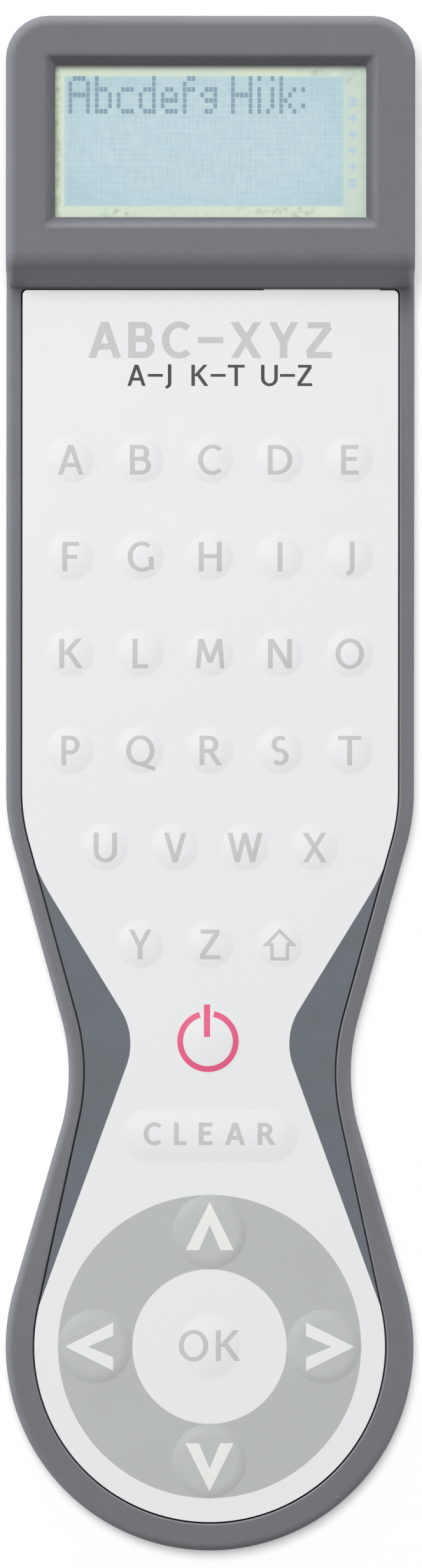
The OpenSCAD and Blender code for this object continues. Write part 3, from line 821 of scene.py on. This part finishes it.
def alphabet(thick, thin, cap=1.55):
    """Plain capital letters drawn in strokes of two widths, about the middle of each."""
    top = cap - thin / 2
    swell = cap + 0.05

    def post(x):
        return stem(x, -cap, x, cap, thick)

    def bar(y, x0, x1):
        return beam(x0, y, x1, y, thin)

    def bend(x, y, half_w, half_h, start, stop):
        return bow((x, y), (half_w, half_h), start, stop, thick, thin)

    def bowl(x, half_w, low, high):
        return bend(x, (low + high) / 2, half_w, (high - low) / 2, -90, 90)

    rounds = [bend(0, 0, 1.5, swell, 90, 270), bend(0, 0, 1.5, swell, -90, 90)]
    return {
        "A": [stem(-1.08, -cap, -0.02, cap, thick), stem(1.08, -cap, 0.02, cap, thick),
              bar(-0.56, -0.62, 0.62)],
        "B": [post(-0.86), bar(top, -0.86, 0.1), bar(0.1, -0.86, 0.1), bar(-top, -0.86, 0.1),
              bowl(0.1, 0.8, 0.1 - thin / 2, cap), bowl(0.1, 1.0, -cap, 0.1 + thin / 2)],
        "C": [bend(0.22, 0, 1.5, swell, 48, 312)],
        "D": [post(-1.04), bar(top, -1.04, -0.3), bar(-top, -1.04, -0.3), bowl(-0.3, 1.6, -cap, cap)],
        "E": [post(-0.66), bar(top, -0.66, 0.9), bar(0.1, -0.66, 0.72), bar(-top, -0.66, 0.92)],
        "F": [post(-0.62), bar(top, -0.62, 0.88), bar(-0.02, -0.62, 0.68)],
        "G": [bend(0.15, 0, 1.5, swell, 52, 305), stem(1.13, -1.35, 1.13, 0, thick)],
        "H": [post(-0.95), post(0.95), bar(0.05, -0.95, 0.95)],
        "I": [post(0)],
        "J": [stem(0.25, -1.2, 0.25, 1.6, thick), bend(0.25 + thick / 2 - 1.26, -1.2, 1.26, 0.85, -65, 0)],
        "K": [post(-0.93), stem(-0.62, -0.12, 0.86, cap, 1.2 * thick),
              stem(1.0, -cap, -0.3, 0.28, 1.2 * thick)],
        "L": [post(-0.56), bar(-top, -0.56, 0.82)],
        "M": [stem(-1.27, -cap, -1.0, cap, 0.9 * thick), stem(1.27, -cap, 1.0, cap, 0.9 * thick),
              stem(-0.98, cap, 0, -0.95, thick), stem(0.98, cap, 0, -0.95, thick)],
        "N": [post(-1.0), post(1.0), stem(-0.98, cap, 0.98, -cap, 1.2 * thick)],
        "O": rounds,
        "P": [post(-0.7), bar(top, -0.7, -0.05), bar(-0.2, -0.7, -0.05),
              bowl(-0.05, 1.02, -0.2 - thin / 2, cap)],
        "Q": [*rounds, beam(0, -1.4, 1.55, -1.95, thin)],
        "R": [post(-0.85), bar(top, -0.85, -0.1), bar(-0.05, -0.85, -0.1),
              bowl(-0.1, 0.98, -0.05 - thin / 2, cap), stem(0.98, -cap, -0.05, 0, 1.15 * thick)],
        "S": [bend(0.02, 0.68, 0.9, 0.87, 45, 270), bend(-0.02, -0.66, 0.95, 0.89, -140, 90)],
        "T": [post(0), bar(top, -1.23, 1.23)],
        "U": [stem(-1.23 + thick / 2, -0.4, -1.23 + thick / 2, cap, thick),
              stem(1.23 - thick / 2, -0.4, 1.23 - thick / 2, cap, thick),
              bend(0, -0.4, 1.23, 1.18, 180, 360)],
        "V": [stem(-0.93, cap, 0, -cap, thick), stem(0.93, cap, 0, -cap, thick)],
        "W": [stem(-1.57, cap, -0.8, -cap, thick), stem(0, cap, -0.8, -cap, thick),
              stem(0, cap, 0.8, -cap, thick), stem(1.57, cap, 0.8, -cap, thick)],
        "X": [stem(-0.98, cap, 0.98, -cap, 1.15 * thick), stem(0.95, cap, -0.98, -cap, thick)],
        "Y": [stem(-0.93, cap, -0.02, -0.2, thick), stem(0.93, cap, 0.02, -0.2, thick),
              stem(0, -cap, 0, 0.1, thick)],
        "Z": [bar(top, -0.98, 1.0), bar(-top, -1.05, 1.1),
              stem(-0.8, thin - cap, 0.75, cap - thin, 1.2 * thick)],
        "-": [bar(0, -1.1, 1.1)],
    }


def line_of(letters, word, x, y, scale, gap):
    """A word about a middle point, its letters spaced apart by a gap in their own size."""
    spans = []
    for letter in word:
        xs = [px for stroke in letters[letter] for px, _ in stroke]
        spans.append((min(xs), max(xs)))
    width = sum(b - a for a, b in spans) + gap * (len(word) - 1)
    cursor = -width / 2
    strokes = []
    for letter, (a, b) in zip(word, spans):
        strokes += shifted(letters[letter], x + scale * (cursor - a), y, scale)
        cursor += b - a + gap
    return strokes


def pill(centre, half_w, radius, steps=key_steps):
    """A round key's edge, or a pill's when it is wider than it is tall."""
    reach = half_w - radius
    right = arc((centre[0] + reach, centre[1]), radius, 90, -90, steps)
    left = arc((centre[0] - reach, centre[1]), radius, 270, 90, steps)
    return right + left if reach > 0.01 else right[:-1] + left[:-1]


def thicken(shape, drop):
    """Gives an open sheet an underside at the given drop, and walls round its edges."""
    faces = shape.faces[:]
    edges = [e for e in shape.edges if e.is_boundary]
    under = {v: shape.verts.new(v.co - Vector((0, 0, drop))) for v in shape.verts[:]}
    for face in faces:
        shape.faces.new([under[v] for v in reversed(face.verts)])
    for a, b in [e.verts for e in edges]:
        shape.faces.new((a, b, under[b], under[a]))


def clear_loose(shape):
    """Takes out corners that no face uses."""
    loose = [v for v in shape.verts if not v.link_faces]
    bmesh.ops.delete(shape, geom=loose, context="VERTS")


keys = {}
for name in nodes:
    if name.startswith("key_"):
        low, high = extent(name)
        radius = (high.y - low.y) / 2 - key_flange + key_play
        half_w = (high.x - low.x) / 2 - key_flange + key_play
        keys[name] = ((low.x + high.x) / 2, (low.y + high.y) / 2), half_w, radius

sheet_top = tray_top - sheet_top_gap
sheet_line = outline(tray_side + sheet_gap, tray_foot + sheet_gap, sheet_top, sheet_corner)
sheet_line += [(tongue_left, sheet_top), (tongue_left, tongue_top)]
sheet_line += [(tongue_right, tongue_top), (tongue_right, sheet_top)]
half_turn = math.radians((panel_rise + panel_fall) / 2)
rise_way = Vector((math.sin(math.radians(panel_rise)), math.cos(math.radians(panel_rise))))
fall_way = Vector((math.sin(math.radians(panel_fall)), -math.cos(math.radians(panel_fall))))
tip_c = Vector(panel_tip) + (rise_way + fall_way).normalized() * panel_tip_r / math.cos(half_turn)
bend_c = Vector(panel_tip) + rise_way * panel_straight + Vector((-rise_way.y, rise_way.x)) * panel_bend_r
panel = arc(bend_c, panel_bend_r, panel_bend - panel_rise, -panel_rise, panel_bend_steps)
panel += arc(tip_c, panel_tip_r, 180 - panel_rise, 180 + panel_fall, panel_tip_steps)
panel += [tuple(Vector(panel_tip) + fall_way * panel_end)]
panels = [panel, [(-x, y) for x, y in panel]]
letters = alphabet(thick=0.52, thin=0.42)
bold_letters = alphabet(thick=0.66, thin=0.54)
index_pale = line_of(bold_letters, "ABC-XYZ", x=0, y=46.6, scale=1.22, gap=0.6)
index_dark = []
for span, span_x in (("A-J", -6.4), ("K-T", 0.8), ("U-Z", 8.0)):
    index_dark += line_of(letters, span, span_x, y=42.9, scale=0.72, gap=0.3)
rings = [circle(foot_c, r, ring_steps) for r in (ring_out, ring_in)]
holes = [pill(*key) for key in keys.values()]
groups = [[sheet_line], holes, panels, rings[:1], rings[1:], index_pale, index_dark]
in_sheet, in_hole, in_panel, in_ring, in_middle, in_pale, in_dark = range(len(groups))
starts = [sum(len(g) for g in groups[:i]) for i in range(len(groups) + 1)]
points, _, triangles, held = divide([shape for group in groups for shape in group])


def within(regions, group):
    """True if one of a group's shapes holds the triangle."""
    return any(starts[group] <= r < starts[group + 1] for r in regions)


sheet = bmesh.new()
kept = [(t, r) for t, r in zip(triangles, held) if within(r, in_sheet) and not within(r, in_hole)]
sheet_faces = lay(sheet, points, [t for t, r in kept], lambda x, y: sheet_level)
for face, (_, regions) in zip(sheet_faces, kept):
    if within(regions, in_dark):
        face.material_index = 4
    elif within(regions, in_pale):
        face.material_index = 3
    elif within(regions, in_panel):
        face.material_index = 1
    elif within(regions, in_ring) and not within(regions, in_middle):
        face.material_index = 2
clear_loose(sheet)
thicken(sheet, sheet_thick)
white_film = finish("white_film", tint(238, 239, 240), rough=0.42, grain=0.3, depth=0.003, drift=0.012,
                    patch=12.0, gloss=0.2)
slate_print = finish("slate_print", tint(103, 109, 111), rough=0.5, grain=0.16, depth=0.006, drift=0.16,
                     patch=3.0, gloss=0.2, fleck=tint(103, 108, 118))
ring_print = finish("ring_print", tint(186, 190, 189), rough=0.45, grain=0.14, depth=0.003, drift=0.04,
                    patch=8.0, gloss=0.2)
pale_ink = finish("pale_ink", tint(202, 204, 204), rough=0.45, grain=0.14, depth=0.003, drift=0.03,
                  gloss=0.2)
dark_ink = finish("dark_ink", tint(66, 66, 68), rough=0.45, grain=0.14, depth=0.003, drift=0.06, gloss=0.2)
keypad_sheet = piece("keypad_sheet", sheet, [white_film, slate_print, ring_print, pale_ink, dark_ink])
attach(keypad_sheet, "case")
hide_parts("keypad_overlay")

# Letter keys: shallow round domes, pressed up in the film and printed with one grey capital each. On the real
# keypad their rims stay in the sheet while the tops go down onto the contacts; each dome here is hung on its
# key.
dome_h = 0.25
skin_thick = 0.3
rim_play = 0.002
dome_steps = 12
dome_soft = 0.1
dome_flat = 0.95
dome_spread = 1.3


def dome(name, film, prints, foot=0.4, swell=None):
    """A key's domed skin, set in by its foot and flat past its swell, with its print about its middle."""
    centre, half_w, radius = keys[name]
    reach = half_w - radius
    swell = swell or radius - foot

    def level(x, y):
        side = max(0, abs(x - centre[0]) - reach)
        t = min(1, max(0, (radius - foot - math.hypot(side, y - centre[1])) / swell))
        share = t * t / dome_soft if t < dome_soft else 1 - (1 - t) ** 2 / (1 - dome_soft)
        return sheet_level + dome_h * share

    insets = [foot + dome_flat * swell * (i / dome_steps) ** dome_spread for i in range(dome_steps + 1)]
    insets = [rim_play, *insets] if foot else [rim_play, *insets[1:]]
    regions = [pill(centre, half_w - inset, radius - inset) for inset in insets]
    finishes = [film]
    marks = {}
    for shapes, ink in prints:
        finishes.append(ink)
        for mark in shifted(shapes, *centre):
            marks[len(regions)] = len(finishes) - 1
            regions.append(mark)
    points, _, triangles, held = divide(regions)
    kept = [(t, r) for t, r in zip(triangles, held) if 0 in r]
    shape = bmesh.new()
    faces = lay(shape, points, [t for t, r in kept], level)
    for face, (_, found) in zip(faces, kept):
        face.material_index = max([marks.get(r, 0) for r in found])
    clear_loose(shape)
    thicken(shape, skin_thick)
    made = piece(name + "_dome", shape, finishes)
    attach(made, name)
    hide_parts(name)
    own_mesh(made)
    return made


letter_ink = finish("letter_ink", tint(200, 203, 201), rough=0.5, grain=0.14, depth=0.003, drift=0.03,
                    gloss=0.2)
film_keys = []
for letter in "ABCDEFGHIJKLMNOPQRSTUVWXYZ":
    film_keys.append(dome("key_" + letter.lower(), white_film, [(letters[letter], letter_ink)]))

# Shift key: the same dome of film beside the last letters, pressed up with them and printed from behind with
# the outline of an upward arrow in the letters' grey.
arrow_stroke = 0.34
roof = [(-1.81, -0.17), (0, 1.69), (1.81, -0.17), (1.33, -0.17), (0, 1.2), (-1.33, -0.17)]
eaves = [beam(-1.6, 0, -0.64, 0, arrow_stroke), beam(0.64, 0, 1.6, 0, arrow_stroke)]
shaft = [stem(x, -1.69, x, 0.17, arrow_stroke) for x in (-0.81, 0.81)]
shaft.append(beam(-0.9, -1.52, 0.9, -1.52, arrow_stroke))
film_keys.append(dome("key_shift", white_film, [([roof, *eaves, *shaft], letter_ink)]))

# Power key: a larger dome of the same film at the narrow of the waist, between the slate panels, printed from
# behind with the switch sign in pink.
power_r = 3.23
power_stroke = 0.62
power_shift = -0.2
power_turn = (107, 438)
bar_shift = -0.3
bar_ends = (0.45, 3.9)
bar_w = 0.66
power_bow = bow((power_shift, 0), (power_r, power_r), *power_turn, power_stroke, power_stroke)
power_bar = stem(bar_shift, bar_ends[0], bar_shift, bar_ends[1], bar_w)
pink_ink = finish("pink_ink", tint(230, 92, 134), rough=0.45, grain=0.14, depth=0.003, drift=0.06,
                  gloss=0.3)
film_keys.append(dome("key_power", white_film, [([power_bow, power_bar], pink_ink)]))

# Clear key: a wide pill-shaped dome of the same film below the power key, which starts to rise nearer its rim
# than the round ones do, with its word printed in spaced grey capitals.
clear_foot = 0.1
clear_word = line_of(bold_letters, "CLEAR", x=0, y=0.2, scale=0.76, gap=1.7)
film_keys.append(dome("key_clear", white_film, [(clear_word, letter_ink)], clear_foot))

# Cluster at the foot: a white middle key and four arrow keys on the grey ring, domed like the rest, with
# near-white arrowheads that point outwards.
arrow_head = [(-2.52, -2.52), (0, 2.52), (2.52, -2.52), (1.12, -2.52), (0, 0.13), (-1.12, -2.52)]
arrow_out = 0.64
arrow_swell = 1.25
middle_word = line_of(letters, "OK", x=0, y=0.1, scale=1.04, gap=0.75)
film_keys.append(dome("key_ok", white_film, [(middle_word, letter_ink)]))
arrow_print = finish("arrow_print", tint(191, 195, 194), rough=0.45, grain=0.14, depth=0.003, drift=0.04,
                     patch=8.0, gloss=0.2)
arrow_ink = finish("arrow_ink", tint(240, 241, 239), rough=0.45, grain=0.14, depth=0.003, drift=0.012,
                   gloss=0.2)
for name, turn in (("key_up", 0), ("key_left", 90), ("key_down", 180), ("key_right", 270)):
    pointer = turned(shifted([arrow_head], 0, arrow_out), turn)
    film_keys.append(dome(name, arrow_print, [(pointer, arrow_ink)], foot=0, swell=arrow_swell))

# Lamps: a broad soft one above and beyond the head lights the case and the display, two nearer, steeper ones
# the printed film, where the head then throws little shadow, and another the table. Three long low ones skim
# the case's rounded edges from beyond and from both sides. None lights the window, which would mirror it.
film_pieces = [keypad_sheet, *film_keys]
shaded_pieces = [table, nodes["display_window"], *film_pieces]


def hang(name, state, pieces, way, level, distance, size):
    """Hangs a soft lamp that adds its level to faces that lie flat, for some pieces or for all but those."""
    way = Vector(way).normalized()
    width, height = size
    lamp = bpy.data.objects.new(name, bpy.data.lights.new(name, "AREA"))
    lamp.data.shape = "RECTANGLE"
    lamp.data.size = width
    lamp.data.size_y = height
    lamp.data.energy = level / way.z * math.pi * (math.pi * distance ** 2 + width * height)
    lamp.location = way * distance
    lamp.rotation_euler = way.to_track_quat("Z", "Y").to_euler()
    lamp.visible_camera = False
    lamp.visible_transmission = False
    scene.collection.objects.link(lamp)
    group = bpy.data.collections.new(name + "_lights")
    for made in pieces:
        group.objects.link(made)
    for link in group.collection_objects:
        link.light_linking.link_state = state
    lamp.light_linking.receiver_collection = group


hang("case_lamp", "EXCLUDE", shaded_pieces,
     way=(-0.18, 0.53, 0.85), level=0.67, distance=2.5, size=(1.6, 1.6))
hang("back_lamp", "EXCLUDE", shaded_pieces,
     way=(-0.1, 1, 0.035), level=0.028, distance=2.5, size=(2.0, 0.12))
hang("left_lamp", "EXCLUDE", shaded_pieces,
     way=(-1, 0, 0.019), level=0.0123, distance=1.0, size=(0.8, 0.03))
hang("right_lamp", "EXCLUDE", shaded_pieces,
     way=(1, 0, 0.028), level=0.0105, distance=1.0, size=(0.8, 0.05))
hang("film_lamp", "INCLUDE", film_pieces,
     way=(-0.5, 0.42, 1), level=0.4, distance=1.2, size=(0.43, 0.43))
hang("high_lamp", "INCLUDE", film_pieces,
     way=(0, 0.15, 1), level=0.32, distance=1.2, size=(0.43, 0.43))
hang("table_lamp", "INCLUDE", [table],
     way=(-0.1, 0.3, 1), level=0.6, distance=2.5, size=(1.2, 1.2))
